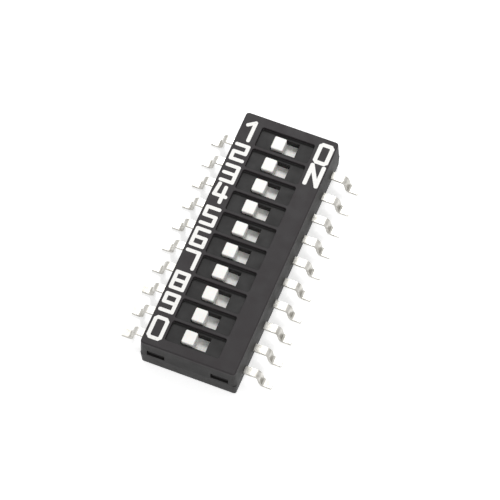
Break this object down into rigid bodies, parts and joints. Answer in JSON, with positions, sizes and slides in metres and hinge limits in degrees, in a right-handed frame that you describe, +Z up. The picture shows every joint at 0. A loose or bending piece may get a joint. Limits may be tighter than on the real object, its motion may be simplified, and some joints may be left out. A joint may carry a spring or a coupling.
{
  "type": "dip switch",
  "caption": "Low-profile DIP switch: a row of small slide switches in a black moulded housing with numbered positions, an ON legend and gull-wing leads along both sides.",
  "frame": {"origin": "middle of the footprint, on the board surface that the undersides of the feet stand on", "axes": "+X across the row towards the ON side of every slider, +Y along the row towards switch 1, +Z up away from the board"},
  "size_m": [0.0078, 0.0138, 0.0022],
  "materials": {
    "housing_black": "moulded charcoal thermoplastic with a fine satin texture",
    "slider_white": "moulded white thermoplastic, smooth",
    "contact_gilt": "gold-plated spring copper alloy",
    "legend_ink": "pad-printed white ink",
    "lead_tin": "matt tin plate over a stamped and bent copper alloy strip"
  },
  "bodies": {
    "housing": {"cover": "housing_black", "base": "housing_black", "lead_left_1": "lead_tin", "lead_left_2": "lead_tin", "lead_left_3": "lead_tin", "lead_left_4": "lead_tin", "lead_left_5": "lead_tin", "lead_left_6": "lead_tin", "lead_left_7": "lead_tin", "lead_left_8": "lead_tin", "lead_left_9": "lead_tin", "lead_left_10": "lead_tin", "lead_right_1": "lead_tin", "lead_right_2": "lead_tin", "lead_right_3": "lead_tin", "lead_right_4": "lead_tin", "lead_right_5": "lead_tin", "lead_right_6": "lead_tin", "lead_right_7": "lead_tin", "lead_right_8": "lead_tin", "lead_right_9": "lead_tin", "lead_right_10": "lead_tin"},
    "switch_1": {"slider_1": "slider_white", "contact_1": "contact_gilt"},
    "switch_2": {"slider_2": "slider_white", "contact_2": "contact_gilt"},
    "switch_3": {"slider_3": "slider_white", "contact_3": "contact_gilt"},
    "switch_4": {"slider_4": "slider_white", "contact_4": "contact_gilt"},
    "switch_5": {"slider_5": "slider_white", "contact_5": "contact_gilt"},
    "switch_6": {"slider_6": "slider_white", "contact_6": "contact_gilt"},
    "switch_7": {"slider_7": "slider_white", "contact_7": "contact_gilt"},
    "switch_8": {"slider_8": "slider_white", "contact_8": "contact_gilt"},
    "switch_9": {"slider_9": "slider_white", "contact_9": "contact_gilt"},
    "switch_10": {"slider_10": "slider_white", "contact_10": "contact_gilt"}
  },
  "joints": [
    {"name": "slide_1", "type": "slide", "parent": "housing", "child": "switch_1", "axis": [1, 0, 0], "range_m": [0, 0.00064]},
    {"name": "slide_2", "type": "slide", "parent": "housing", "child": "switch_2", "axis": [1, 0, 0], "range_m": [0, 0.00064]},
    {"name": "slide_3", "type": "slide", "parent": "housing", "child": "switch_3", "axis": [1, 0, 0], "range_m": [0, 0.00064]},
    {"name": "slide_4", "type": "slide", "parent": "housing", "child": "switch_4", "axis": [1, 0, 0], "range_m": [0, 0.00064]},
    {"name": "slide_5", "type": "slide", "parent": "housing", "child": "switch_5", "axis": [1, 0, 0], "range_m": [0, 0.00064]},
    {"name": "slide_6", "type": "slide", "parent": "housing", "child": "switch_6", "axis": [1, 0, 0], "range_m": [0, 0.00064]},
    {"name": "slide_7", "type": "slide", "parent": "housing", "child": "switch_7", "axis": [1, 0, 0], "range_m": [0, 0.00064]},
    {"name": "slide_8", "type": "slide", "parent": "housing", "child": "switch_8", "axis": [1, 0, 0], "range_m": [0, 0.00064]},
    {"name": "slide_9", "type": "slide", "parent": "housing", "child": "switch_9", "axis": [1, 0, 0], "range_m": [0, 0.00064]},
    {"name": "slide_10", "type": "slide", "parent": "housing", "child": "switch_10", "axis": [1, 0, 0], "range_m": [0, 0.00064]}
  ]
}
